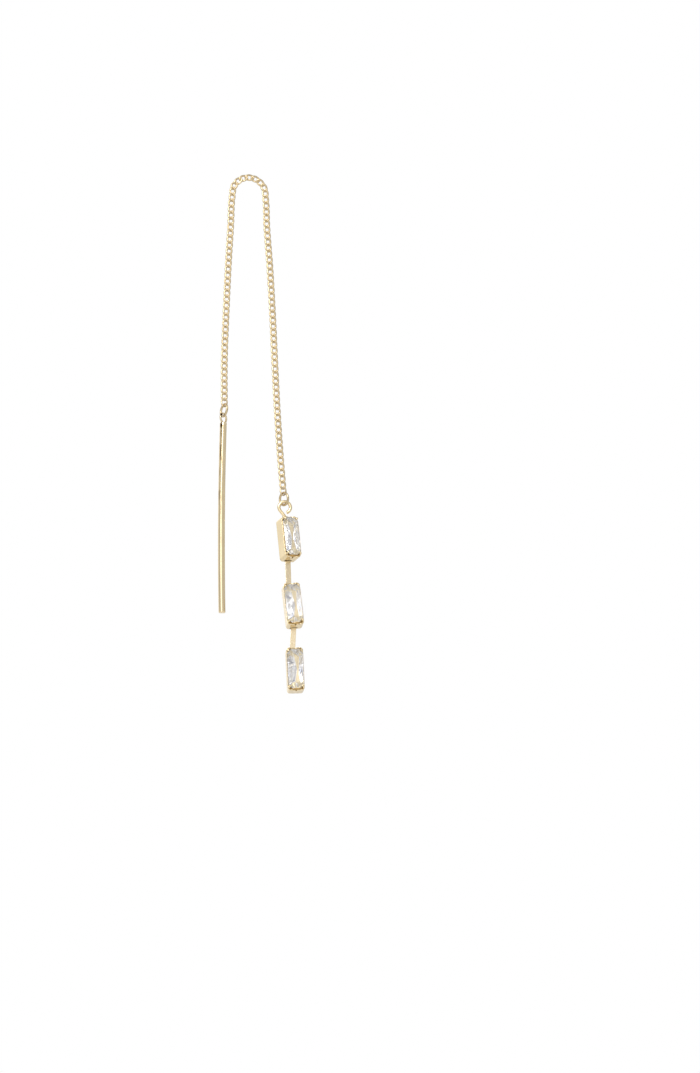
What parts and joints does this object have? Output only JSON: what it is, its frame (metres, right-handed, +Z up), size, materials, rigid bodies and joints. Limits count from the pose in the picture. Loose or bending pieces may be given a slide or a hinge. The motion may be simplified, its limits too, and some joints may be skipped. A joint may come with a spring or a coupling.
{
  "type": "threader earring",
  "caption": "Gold-toned threader earring: a fine curb chain with a slim round bar on one end and a drop of linked baguette stones in box settings on the other.",
  "frame": {"origin": "inside top of the chain's bend, where the earring hangs on the ear", "axes": "+Z up, +X to the right seen from the front with the stone drop on that side, -Y towards the front of the stones"},
  "size_m": [0.0123, 0.005, 0.0771],
  "materials": {
    "chain_gold": "polished gold plate",
    "bar_gold": "polished pale gold plate",
    "setting_gold": "polished gold plate",
    "strip_gold": "satin gold plate",
    "clear_stone": "polished facets"
  },
  "bodies": {
    "chain": {"chain_back": "chain_gold", "chain_front": "chain_gold"},
    "front_ring": {"front_ring": "chain_gold"},
    "drop": {"setting_top": "setting_gold", "setting_middle": "setting_gold", "setting_bottom": "setting_gold", "stone_top": "clear_stone", "stone_middle": "clear_stone", "stone_bottom": "clear_stone", "connector_upper": "strip_gold", "connector_lower": "strip_gold"},
    "back_ring": {"back_ring": "chain_gold"},
    "bar": {"threader_bar": "bar_gold"}
  },
  "joints": [
    {"name": "front_ring_swing", "type": "hinge", "parent": "chain", "child": "front_ring", "pos_m": [0.00521, 0, -0.04677], "axis": [1, 0, 0], "range_deg": [-30, 30]},
    {"name": "drop_swing", "type": "hinge", "parent": "front_ring", "child": "drop", "pos_m": [0.00539, 0, -0.04875], "axis": [0, 1, 0], "range_deg": [-35, 8]},
    {"name": "back_ring_swing", "type": "hinge", "parent": "chain", "child": "back_ring", "pos_m": [-0.00346, 0, -0.03402], "axis": [1, 0, 0], "range_deg": [-22, 30]},
    {"name": "bar_swing", "type": "hinge", "parent": "back_ring", "child": "bar", "pos_m": [-0.00359, 0, -0.03557], "axis": [0, 1, 0], "range_deg": [-8, 35]}
  ]
}
